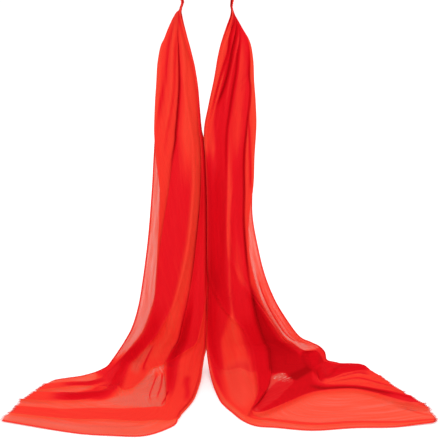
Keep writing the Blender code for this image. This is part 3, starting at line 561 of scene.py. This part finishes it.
def spreadPoints(start, stop, count, focus):
    # points across one layer, closer together where a fold edge or a crease passes
    samples = start[:, None] + (stop - start)[:, None] * np.linspace(0.0, 1.0, grain["samples"])
    density = np.ones_like(samples)
    for centre, half, strength in focus:
        density += strength[:, None] * np.exp(-((samples - centre[:, None]) / half) ** 2)
    share = np.cumsum(density, axis=1)
    share = (share - share[:, :1]) / (share[:, -1:] - share[:, :1])
    even = np.linspace(0.0, 1.0, count)
    return np.stack([np.interp(even, share[row], samples[row]) for row in range(len(samples))])


def layPoints(part, places, edges, width, spacing):
    # place across and height of the points of all layers, and of the bends between them
    finer = np.full_like(width, grain["foldFiner"])
    focus = [(edge, grain["foldHalf"], finer) for edge in edges.T]
    for half, _, _, *track in part["creases"]:
        if half < grain["creaseUnder"]:
            centre, fade = creaseTrack(track, places)
            focus.append((centre[:, 0] * width, grain["creaseHalf"] * half, grain["creaseFiner"] * fade))
    xs, heights = [], []
    radius, last = 0.5 * spacing, cut["layers"] - 1
    bend = np.linspace(0.0, math.pi, grain["bendPoints"] + 2)[1:-1]
    for layer in range(cut["layers"]):
        way = 1.0 if layer % 2 == 0 else -1.0
        start = edges[:, layer] + (0.0 if layer == 0 else way * radius)
        stop = edges[:, layer + 1] - (0.0 if layer == last else way * radius)
        stop = np.where((stop - start) * way < radius, start + way * radius, stop)
        x = spreadPoints(start, stop, part["runPoints"][layer], focus)
        xs.append(x)
        heights.append(liftOver(x, layer, edges, spacing))
        if layer < last:
            low, high = [liftOver(stop[:, None], level, edges, spacing) for level in (layer, layer + 1)]
            xs.append(stop[:, None] + way * radius[:, None] * np.sin(bend))
            heights.append(low + (high - low) * 0.5 * (1.0 - np.cos(bend)))
    return np.concatenate(xs, axis=1), np.concatenate(heights, axis=1)


def countLayers(part, x, edges):
    # layers that lie over each other at every point, softened across their edges and down the strip
    plies = np.zeros_like(x)
    blur = part["blur"]
    for layer in range(cut["layers"]):
        before, after = edges[:, layer, None], edges[:, layer + 1, None]
        onward = np.where(after > before, 1.0, -1.0)
        plies += (smoothStep(onward * (x - before) / blur[layer] + 0.5)
                  * smoothStep(onward * (after - x) / blur[layer + 1] + 0.5))
    for _ in range(part.get("fadeRows", 0)):
        plies[1:-1] = (plies[:-2] + 2.0 * plies[1:-1] + plies[2:]) / 4.0
    return plies


def foldCloth(part, seed):
    # the points of one stretch, their places across and down the strip as it was cut, and the
    # painted shade and painted light through the weave there
    places = rowPlaces(part)
    section = readSections(part, places)
    outer, inner, spacing, bow = section[:, 0:3], section[:, 3:6], section[:, 6], section[:, 7]
    across = inner - outer
    width = np.linalg.norm(across, axis=1)
    edges = foldEdges(part, places, width, seed)
    x, height = layPoints(part, places, edges, width, spacing)
    u = x / width[:, None]

    # creases and the bow of the whole bundle, and the painted shade and painted light in the colour
    relief = bow[:, None] * (1.0 - (2.0 * np.clip(u, 0, 1) - 1.0) ** 2)
    addedShade, pale = np.zeros_like(x), np.zeros_like(x)
    for half, rise, deeper, *track in part["creases"]:
        shape = creaseShape(half, track, places, u, width)
        relief += rise * shape
        addedShade += deeper * shape
    for soft, fade, deeper, paler, *track in part.get("areas", ()):
        shape = areaShape(soft, fade, track, places, u, width)
        addedShade += deeper * shape
        pale = np.maximum(pale, paler * shape)
    plies = countLayers(part, x, edges)
    # painted shade: redder where more layers lie, as light that passes them comes out, and in creases and
    # hollows; below 0 a painted highlight
    deep = (np.clip(plies, 1.0, cut["layers"]) - 1.0) / (cut["layers"] - 1.0) + addedShade
    deep = np.maximum(deep, cut["leastPaintedShade"] * smoothStep((plies - 1.0) / cut["leastFrom"]))

    # places across and down, for crinkles and the weave
    flat = runningSum(np.hypot(np.diff(x, axis=1), np.diff(height, axis=1)))
    flat *= cut["width"] / flat[:, -1:]
    middle = outer + 0.5 * across
    down = runningSum(np.linalg.norm(np.diff(middle, axis=0), axis=1))
    down = np.broadcast_to(down[:, None], flat.shape)
    loose = np.zeros_like(x)
    for number, (size, wide, long) in enumerate(cut["crinkles"], start=1):
        loose += size * softNoise(flat / wide, down / long, seed + number)
    loose *= smoothStep(places / cut["crinkleFrom"])[:, None]

    # cloth that lies on the surface can't dip below it
    lying = smoothStep((cut["lieFrom"] - middle[:, 2]) / cut["lieOver"])[:, None]
    relief = relief * (1.0 - lying) + np.maximum(relief, 0.0) * lying
    kept = cut["crinkleLying"]
    lift = cut["seat"] + height + relief + loose * (kept + (1 - kept) * (1 - lying))
    least = cut["lyingSeat"] + cut["lyingStack"] * height
    lift += smoothStep(lying * 1.6 - 0.4) * np.maximum(least - lift, 0.0)  # once most of it lies
    normal = showSide(part, places, across, np.clip(u, 0.0, 1.0))
    points = outer[:, None, :] + across[:, None, :] * u[:, :, None] + normal * lift[:, :, None]
    if "endTrim" in part:
        trim = np.array(part["endTrim"])
        past = np.interp(u, trim[:, 0], trim[:, 1]) * smoothStep(places - (lastSection - 1.0))[:, None]
        points += unit(points[-1] - points[-2])[None, :, :] * past[:, :, None]
    points[:, :, 2] = np.maximum(points[:, :, 2], cut["restUp"]) + floorUp
    return points * mm, flat * mm, down * mm, deep, pale


def gridFaces(rows, columns, closed=False):
    # the corners of a grid's faces, where the last column may join the first
    row, column = np.meshgrid(np.arange(rows - 1), np.arange(columns - (not closed)), indexing="ij")
    after = (column + 1) % columns
    near, far = row * columns, (row + 1) * columns
    return np.stack((near + column, near + after, far + after, far + column), axis=-1).reshape(-1, 4)


def makeMesh(name, points, faces, uvs=None, **tones):
    mesh = bpy.data.meshes.new(name)
    mesh.from_pydata(points.reshape(-1, 3).tolist(), [], faces)
    if uvs is not None:
        corners = np.zeros(len(mesh.loops), np.int32)
        mesh.loops.foreach_get("vertex_index", corners)
        layer = mesh.uv_layers.new(name="clothMap")
        layer.data.foreach_set("uv", uvs.reshape(-1, 2)[corners].astype(np.float32).ravel())
    for label, values in tones.items():
        layer = mesh.attributes.new(label, "FLOAT", "POINT")
        layer.data.foreach_set("value", values.astype(np.float32).ravel())
    mesh.shade_smooth()
    mesh.update()
    return mesh


def addPiece(name, mesh, material=None):
    piece = bpy.data.objects.new(name, mesh)
    bpy.context.scene.collection.objects.link(piece)
    if material is not None:
        mesh.materials.append(material)
    return piece


def makeCloth(name, part, seed, material):
    points, flat, down, deep, pale = foldCloth(part, seed)
    faces = gridFaces(*flat.shape).tolist()
    mesh = makeMesh(name, points, faces, np.stack((flat, down), axis=2), deep=deep, pale=pale)
    return addPiece(name, mesh, material), points, flat, down, deep


# Narrow hems, rolled by hand, along both long edges
hem = {
    "halfWidth": 1.1,        # mm
    "halfHeight": 0.5,
    "inside": 0.6,           # from the cloth's edge to the roll's middle
    "deeper": 0.30,          # three layers of voile lie in it, and painted shade along the roll
    "sides": 8,              # of its section
    "restUp": 0.05,          # the least height over the surface
}

# Running stitches that hold them
stitch = {
    "spacing": 3.0,          # mm
    "length": 2.0,
    "width": 0.5,
    "shortest": 0.85,        # share of that length
    "swing": 0.06,           # radians either way
    "inside": 1.9,           # from the cloth's edge
    "over": 0.35,            # from the middle of the cloth to the stitch
    "restUp": 0.3,           # the least height over the surface
}


def edgeFrame(points, column, step):
    # along a long edge, in towards the cloth and out of its show side, which faces the front
    edge = points[:, column]
    along = unit(np.gradient(edge, axis=0))
    inward = points[:, column + 3 * step] - edge
    inward = unit(inward - along * (inward * along).sum(axis=1, keepdims=True))
    facing = unit(np.cross(along, inward))
    facing *= np.where(facing @ np.array([0.0, -1.0, 0.6]) < 0, -1.0, 1.0)[:, None]
    return edge, along, inward, facing


def restOn(points, least):
    # lifts what would dip into the surface
    points[..., 2] = np.maximum(points[..., 2], (floorUp + least) * mm)


def makeHems(name, cloth, material):
    # both rolls in one mesh, and the lines along which they are sewn
    points, flat, down, deep = cloth
    rows, sides = len(points), hem["sides"]
    turn = np.linspace(0.0, 2.0 * math.pi, sides, endpoint=False)
    wide, high = hem["halfWidth"] * mm * np.cos(turn), hem["halfHeight"] * mm * np.sin(turn)
    rings, uvs, tones, quads, caps, paths, aims = [], [], [], [], [], [], []
    for number, (column, step) in enumerate(((0, 1), (-1, -1))):
        edge, along, inward, facing = edgeFrame(points, column, step)
        middle = edge + inward * hem["inside"] * mm
        ring = middle[:, None, :] + inward[:, None, :] * wide[None, :, None]
        ring = ring + facing[:, None, :] * high[None, :, None]
        restOn(ring, hem["restUp"])
        rings.append(ring)
        around = flat[:, column, None] + wide[None, :]
        uvs.append(np.stack((around, np.broadcast_to(down[:, column, None], around.shape)), axis=2))
        # painted shade: the roll is redder, for its three layers and the shade along the edge
        tones.append(np.repeat(deep[:, column] + hem["deeper"], sides))
        first, end = number * rows * sides, (number + 1) * rows * sides
        quads += (gridFaces(rows, sides, closed=True) + first).tolist()
        caps += [list(range(first + sides - 1, first - 1, -1)), list(range(end - sides, end))]
        path = edge + inward * stitch["inside"] * mm + facing * stitch["over"] * mm
        restOn(path, stitch["restUp"])
        paths.append(path)
        aims.append(along)
    mesh = makeMesh(name, np.stack(rings), quads + caps, np.stack(uvs), deep=np.concatenate(tones))
    faceOutward(mesh)
    return addPiece(name, mesh, material), paths, aims


def faceOutward(mesh):
    form = bmesh.new()
    form.from_mesh(mesh)
    bmesh.ops.recalc_face_normals(form, faces=form.faces)
    form.to_mesh(mesh)
    form.free()


# Small pieces set along a path by Geometry Nodes. The path's points carry the way that
# each one points, in the attribute "aim".

def alongPathTree(name, primitive):
    tree = bpy.data.node_groups.new(name, "GeometryNodeTree")
    for label, kind in (("Geometry", "Geometry"), ("Spacing", "Float"), ("Length", "Float"),
                        ("Width", "Float"), ("Shortest", "Float"), ("Swing", "Float"),
                        ("Seed", "Int"), ("Material", "Material")):
        tree.interface.new_socket(label, in_out="INPUT", socket_type="NodeSocket" + kind)
    tree.interface.new_socket("Geometry", in_out="OUTPUT", socket_type="NodeSocketGeometry")
    given = addNode(tree, "NodeGroupInput").outputs
    curve = addNode(tree, "GeometryNodeMeshToCurve", {"Mesh": given["Geometry"]})
    even = addNode(tree, "GeometryNodeResampleCurve", {"Curve": curve, "Length": given["Spacing"]},
                   mode="LENGTH")
    aim = addNode(tree, "GeometryNodeInputNamedAttribute", {"Name": "aim"}, data_type="FLOAT_VECTOR")
    facing = addNode(tree, "FunctionNodeAlignRotationToVector", {"Vector": aim}, axis="Z")
    back = addNode(tree, "ShaderNodeMath", {0: given["Swing"], 1: -1.0}, operation="MULTIPLY")
    swing = addNode(tree, "FunctionNodeRandomValue", {2: back, 3: given["Swing"], "Seed": given["Seed"]},
                    data_type="FLOAT")
    sideways = addNode(tree, "ShaderNodeCombineXYZ", {"Z": swing.outputs[1]})
    spin = addNode(tree, "FunctionNodeEulerToRotation", {0: sideways})
    turned = addNode(tree, "FunctionNodeRotateRotation", {0: facing, 1: spin}, rotation_space="GLOBAL")
    later = addNode(tree, "ShaderNodeMath", {0: given["Seed"], 1: 1.0}, operation="ADD")
    share = addNode(tree, "FunctionNodeRandomValue", {2: given["Shortest"], 3: 1.0, "Seed": later},
                    data_type="FLOAT")
    size = addNode(tree, "ShaderNodeCombineXYZ", {"X": 1.0, "Y": 1.0, "Z": share.outputs[1]})
    spread = addNode(tree, "GeometryNodeInstanceOnPoints", {
        "Points": even, "Instance": primitive(tree, given), "Rotation": turned, "Scale": size})
    solid = addNode(tree, "GeometryNodeRealizeInstances", {0: spread})
    painted = addNode(tree, "GeometryNodeSetMaterial", {0: solid, "Material": given["Material"]})
    addNode(tree, "NodeGroupOutput", {0: painted})
    return tree


def threadForm(tree, given):
    # a three-sided yarn end, thinner at its tip, that starts inside the cloth's edge
    thin = addNode(tree, "ShaderNodeMath", {0: given["Width"], 1: 0.25}, operation="MULTIPLY")
    wide = addNode(tree, "ShaderNodeMath", {0: given["Width"], 1: 0.5}, operation="MULTIPLY")
    return addNode(tree, "GeometryNodeMeshCone", {
        "Vertices": 3, "Radius Top": thin, "Radius Bottom": wide, "Depth": given["Length"]})


def stitchForm(tree, given):
    # a rounded stitch that lies along the path
    ball = addNode(tree, "GeometryNodeMeshUVSphere", {"Segments": 6, "Rings": 4, "Radius": 0.5})
    size = addNode(tree, "ShaderNodeCombineXYZ", {
        "X": given["Width"], "Y": given["Width"], "Z": given["Length"]})
    return addNode(tree, "GeometryNodeTransform", {0: ball, "Scale": size})


def growAlong(name, tree, paths, aims, form, seed, material):
    places, edges = [], []
    for line in paths:
        start = len(places)
        places += line.tolist()
        edges += [(spot, spot + 1) for spot in range(start, len(places) - 1)]
    mesh = bpy.data.meshes.new(name)
    mesh.from_pydata(places, edges, [])
    aim = mesh.attributes.new("aim", "FLOAT_VECTOR", "POINT")
    aim.data.foreach_set("vector", np.concatenate(aims).astype(np.float32).ravel())
    piece = addPiece(name, mesh)
    nodes = piece.modifiers.new(name, "NODES")
    nodes.node_group = tree
    values = {"Spacing": form["spacing"] * mm, "Length": form["length"] * mm, "Width": form["width"] * mm,
              "Shortest": form["shortest"], "Swing": form["swing"], "Seed": seed, "Material": material}
    for socket in tree.interface.items_tree:
        if socket.in_out == "INPUT" and socket.name in values:
            nodes[socket.identifier] = values[socket.name]
    grown = bpy.data.meshes.new_from_object(piece.evaluated_get(bpy.context.evaluated_depsgraph_get()))
    piece.modifiers.remove(nodes)
    piece.data = grown
    grown.shade_smooth()
    return piece


# Eyelash fringe: the yarn ends left beyond the last pick at both ends
fringe = {
    "spacing": 0.9,          # mm
    "length": 5.5,
    "width": 0.42,
    "shortest": 0.45,        # share of that length
    "swing": 0.5,            # radians either way
}


# Cotton voile: a sheer plain weave of hard-twisted yarn. It lets light and some sight
# through, so one layer glows orange. Light that passes many layers, or is thrown about
# in a fold, comes out a deep, saturated red: the yarn's colour is painted with that shade,
# and made paler with painted light through the weave.
voile = {
    # how much painted shade there is (below 0 a painted highlight), and the yarn's colour there
    "colors": ((-0.4, "#F28A78"), (0.0, "#F85238"), (0.33, "#FA382C"), (0.66, "#EA1722"),
               (1.0, "#DE0918"), (1.5, "#B0030C")),
    "through": "#E2382E",    # of the light that goes on through the yarn
    "glow": 0.16,            # the share of it
    "cover": 0.92,           # share of the cloth that yarn fills, seen from straight ahead
    "uneven": 0.10,          # how far that share changes from thread to thread
    "denser": 0.45,          # how much of it the painted shade adds, where more layers lie and in creases
    "threadMm": 1.6,         # real threads are 0.35 mm apart, too fine for the picture
    "threadStray": 1.5,      # how far they run out of line
    "slubMm": (3.0, 60.0),   # slubs in the yarn, across and down
    "slubTone": 0.06,        # how far the colour's depth follows them
    "paintedWash": "#C87464",     # painted light: where light between the yarns thins the colour
    "paintedSpeck": "#F4C4B8",      # painted light in the open places between them
    "speckMm": 2.2,
    "speckAt": (0.58, 0.72),  # noise from which they open
    "speckPale": (0.4, 0.9),  # and how much painted light through the weave the cloth needs for them
    "reliefMm": 0.4,         # height of the weave and the slubs
    "sheen": "#FF6040",      # of the yarn's loose fibres
}


def newMaterial(name):
    material = bpy.data.materials.new(name)
    material.use_nodes = True
    return material, material.node_tree


def makeVoile():
    material, tree = newMaterial("cotton voile, woven")
    tree.nodes.clear()
    output = addNode(tree, "ShaderNodeOutputMaterial")
    cloth = addNode(tree, "ShaderNodeUVMap", uv_map="clothMap")
    slubScale = [1 / (size * mm) for size in voile["slubMm"]]
    streaks = addNode(tree, "ShaderNodeMapping", {"Vector": cloth, "Scale": (*slubScale, 1)})
    slub = addNode(tree, "ShaderNodeTexNoise", {"Vector": streaks, "Scale": 1.0, "Detail": 3.0})
    depth = addNode(tree, "ShaderNodeAttribute", attribute_name="deep").outputs["Fac"]
    uneven = addNode(tree, "ShaderNodeMapRange", {
        "Value": slub, "From Min": 0.3, "From Max": 0.7,
        "To Min": -voile["slubTone"], "To Max": voile["slubTone"]})
    # the painted shade, with the yarn's slubs
    deep = addNode(tree, "ShaderNodeMath", {0: depth, 1: uneven}, operation="ADD")

    # the yarn's colour, from its painted shade
    first, last = voile["colors"][0][0], voile["colors"][-1][0]
    share = addNode(tree, "ShaderNodeMapRange", {"Value": deep, "From Min": first, "From Max": last})
    yarnColor = addNode(tree, "ShaderNodeValToRGB", {"Fac": share})
    ramp = yarnColor.color_ramp
    ramp.elements[1].position = 1.0
    for place, code in voile["colors"][1:-1]:
        ramp.elements.new((place - first) / (last - first))
    for stop, (place, code) in zip(ramp.elements, voile["colors"]):
        stop.color = hexColor(code)

    # painted light where the cloth is open, with painted specks of light between the yarns
    pale = addNode(tree, "ShaderNodeAttribute", attribute_name="pale").outputs["Fac"]
    specks = addNode(tree, "ShaderNodeTexNoise", {
        "Vector": cloth, "Detail": 1.0, "Scale": 1 / (voile["speckMm"] * mm)})
    holes, wide = [addNode(tree, "ShaderNodeMapRange", {"Value": value, "From Min": low, "From Max": high})
                   for value, (low, high) in ((specks, voile["speckAt"]), (pale, voile["speckPale"]))]
    paintedSpeckShare = addNode(tree, "ShaderNodeMath", {0: holes, 1: wide}, operation="MULTIPLY")
    shallow = addNode(tree, "ShaderNodeMath", {0: 1.0, 1: deep}, operation="SUBTRACT", use_clamp=True)
    paintedWashShare = addNode(tree, "ShaderNodeMath", {0: shallow, 1: pale}, operation="MULTIPLY")
    paintedWash = addNode(tree, "ShaderNodeMix", {0: paintedWashShare, 6: yarnColor, 7: hexColor(voile["paintedWash"])},
                     data_type="RGBA")
    color = addNode(tree, "ShaderNodeMix", {
        0: paintedSpeckShare, 6: paintedWash.outputs[2], 7: hexColor(voile["paintedSpeck"])}, data_type="RGBA")

    # warp and weft, and the gaps between them
    threads = 1 / (voile["threadMm"] * mm)
    weave = addNode(tree, "ShaderNodeMapping", {"Vector": cloth, "Scale": (threads, threads, 1)})
    warp, weft = [addNode(tree, "ShaderNodeTexWave", {
        "Vector": weave, "Scale": 0.5, "Distortion": voile["threadStray"], "Detail Scale": 0.3},
        bands_direction=way).outputs["Fac"] for way in ("X", "Y")]
    grid = addNode(tree, "ShaderNodeMath", {0: warp, 1: weft}, operation="ADD")
    slubs = addNode(tree, "ShaderNodeMath", {0: slub, 1: 3.0}, operation="MULTIPLY")
    both = addNode(tree, "ShaderNodeMath", {0: grid, 1: slubs}, operation="ADD")
    filled = addNode(tree, "ShaderNodeMapRange", {
        "Value": both, "From Min": 1.0, "From Max": 4.0,
        "To Min": voile["cover"] - voile["uneven"], "To Max": voile["cover"] + voile["uneven"]})
    denser = addNode(tree, "ShaderNodeMath", {0: deep, 1: voile["denser"], 2: filled},
                     operation="MULTIPLY_ADD", use_clamp=True)
    bump = addNode(tree, "ShaderNodeBump", {
        "Height": both, "Strength": 0.2, "Distance": voile["reliefMm"] * mm})
    front = addNode(tree, "ShaderNodeBsdfPrincipled", {
        "Base Color": color.outputs[2], "Roughness": 0.9, "Specular IOR Level": 0.04,
        "Sheen Weight": 0.05, "Sheen Tint": hexColor(voile["sheen"]), "Normal": bump})
    behind = addNode(tree, "ShaderNodeBsdfTranslucent", {
        "Color": hexColor(voile["through"]), "Normal": bump})
    lit = addNode(tree, "ShaderNodeMixShader", {0: voile["glow"], 1: front, 2: behind})
    gaps = addNode(tree, "ShaderNodeBsdfTransparent")
    sheer = addNode(tree, "ShaderNodeMixShader", {0: denser, 1: gaps, 2: lit})
    tree.links.new(sheer.outputs[0], output.inputs["Surface"])
    return material


# Cotton yarn, spun and dyed: yarn ends and sewing thread, matt, a little deeper than the cloth
yarn = {
    "dark": "#D81A1C",
    "light": "#F8503C",
    "fibreMm": 1.5,          # real fibres are finer than the picture can show
    "reliefMm": 0.2,         # height of the fibres
}


def makeYarn():
    material, tree = newMaterial("cotton yarn, spun")
    place = addNode(tree, "ShaderNodeTexCoord").outputs["Object"]
    fibre = addNode(tree, "ShaderNodeTexNoise", {
        "Vector": place, "Scale": 1 / (yarn["fibreMm"] * mm), "Detail": 2.0})
    color = addNode(tree, "ShaderNodeMix", {
        0: fibre, 6: hexColor(yarn["dark"]), 7: hexColor(yarn["light"])}, data_type="RGBA")
    rough = addNode(tree, "ShaderNodeBump", {
        "Height": fibre, "Strength": 0.3, "Distance": yarn["reliefMm"] * mm})
    shader = tree.nodes["Principled BSDF"]
    shader.inputs["Roughness"].default_value = 0.9
    shader.inputs["Specular IOR Level"].default_value = 0.05
    tree.links.new(color.outputs[2], shader.inputs["Base Color"])
    tree.links.new(rough.outputs[0], shader.inputs["Normal"])
    return material


# Studio: a pale sweep, a soft key box at the front, a little to the right, a soft box above
# and one on the sweep. Sizes and places are in metres.
studio = {
    "sweep": "#F4F4F4",
    "sweepGlow": 0.18,       # painted light: the board glows, though it is no lamp, so that shadows on it stay faint
    "sweepReach": 7.0,       # to both sides, the front and the back
    "sweepTop": 6.0,
    "sweepBend": 0.8,        # radius of its turn upwards
    "sweepUnder": 0.0005,    # below the surface that the scarf lies on
    "sky": 0.74,
    # place, aim, size and watts
    "softBoxes": {
        "keyBox": ((0.25, -2.4, 0.7), (0.0, -0.15, -0.30), 1.4, 17.0),
        "topBox": ((0.1, -0.3, 1.7), (0.0, -0.15, -0.60), 1.6, 4.0),
        "sweepBox": ((0.0, 0.4, 1.6), (0.0, 1.6, -0.3), 2.0, 24.0),
    },
    "lens": 124.1,           # mm
    "sensor": 36.0,          # its width, mm
    "eye": (0.018, -2.155, 0.458),
    "tilt": 68.0,            # degrees up from straight down
}


def makeSweep():
    board, tree = newMaterial("matt white board, painted")
    shader = tree.nodes["Principled BSDF"]
    # the emission is painted light, which keeps shadows on the board faint
    for name, value in (("Base Color", hexColor(studio["sweep"])), ("Roughness", 0.9),
                        ("Emission Color", hexColor(studio["sweep"])),
                        ("Emission Strength", studio["sweepGlow"])):
        shader.inputs[name].default_value = value
    low = floorUp * mm - studio["sweepUnder"]
    reach, radius = studio["sweepReach"], studio["sweepBend"]
    turn = [(reach - radius + radius * math.sin(angle), low + radius - radius * math.cos(angle))
            for angle in np.linspace(0, math.pi / 2, 12)]
    profile = [(-reach, low)] + turn + [(reach, studio["sweepTop"])]
    points = np.array([[(x, y, z) for x in (-reach, reach)] for y, z in profile])
    faces = gridFaces(len(profile), 2).tolist()
    addPiece("backdropSweep", makeMesh("backdropSweep", points, faces), board)


def makeStudio():
    scene = bpy.context.scene
    scene.view_settings.view_transform = "Standard"
    world = bpy.data.worlds.new("studio light")
    scene.world = world
    world.use_nodes = True
    sky = world.node_tree.nodes["Background"]
    sky.inputs["Color"].default_value = (1, 1, 1, 1)
    sky.inputs["Strength"].default_value = studio["sky"]
    makeSweep()
    for name, (place, aim, size, watts) in studio["softBoxes"].items():
        box = bpy.data.lights.new(name, "AREA")
        box.shape, box.size, box.energy = "SQUARE", size, watts
        lamp = bpy.data.objects.new(name, box)
        scene.collection.objects.link(lamp)
        lamp.location = place
        lamp.rotation_euler = (Vector(aim) - Vector(place)).to_track_quat("-Z", "Y").to_euler()
    camera = bpy.data.cameras.new("photoCamera")
    camera.lens, camera.sensor_width = studio["lens"], studio["sensor"]
    eye = bpy.data.objects.new("photoCamera", camera)
    scene.collection.objects.link(eye)
    eye.location = studio["eye"]
    eye.rotation_euler = (math.radians(studio["tilt"]), 0, 0)
    scene.camera = eye


def dress(piece, node):
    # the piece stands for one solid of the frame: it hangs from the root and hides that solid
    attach(piece, "root")
    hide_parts(node)
    triangles = sum(len(face.vertices) - 2 for face in piece.data.polygons)
    print("made", piece.name, "of", triangles, "triangles, in place of", node)


makeStudio()
print("set up the studio")
voileMaterial, yarnMaterial = makeVoile(), makeYarn()
print("mixed", voileMaterial.name, "and", yarnMaterial.name)
threadTree = alongPathTree("yarn ends along a cut edge", threadForm)
stitchTree = alongPathTree("stitches along a hem", stitchForm)

for name, node, part, seed in (("left", "left_fall", leftFall, 11),
                               ("nape", "nape_band", napeBand, 23),
                               ("right", "right_fall", rightFall, 37)):
    piece, *cloth = makeCloth(name + "Cloth", part, seed, voileMaterial)
    dress(piece, node)
    hems, paths, aims = makeHems(name + "Hems", cloth, voileMaterial)
    dress(hems, node)
    stitches = growAlong(name + "Stitches", stitchTree, paths, aims, stitch, seed, yarnMaterial)
    dress(stitches, node)
    points, trims = cloth[0], [hems, stitches]
    if node != "nape_band":
        outward = unit(points[-1] - points[-3])
        tufts = growAlong(name + "Fringe", threadTree, [points[-1]], [outward], fringe, seed + 1,
                          yarnMaterial)
        dress(tufts, name + "_fringe")
        trims.append(tufts)
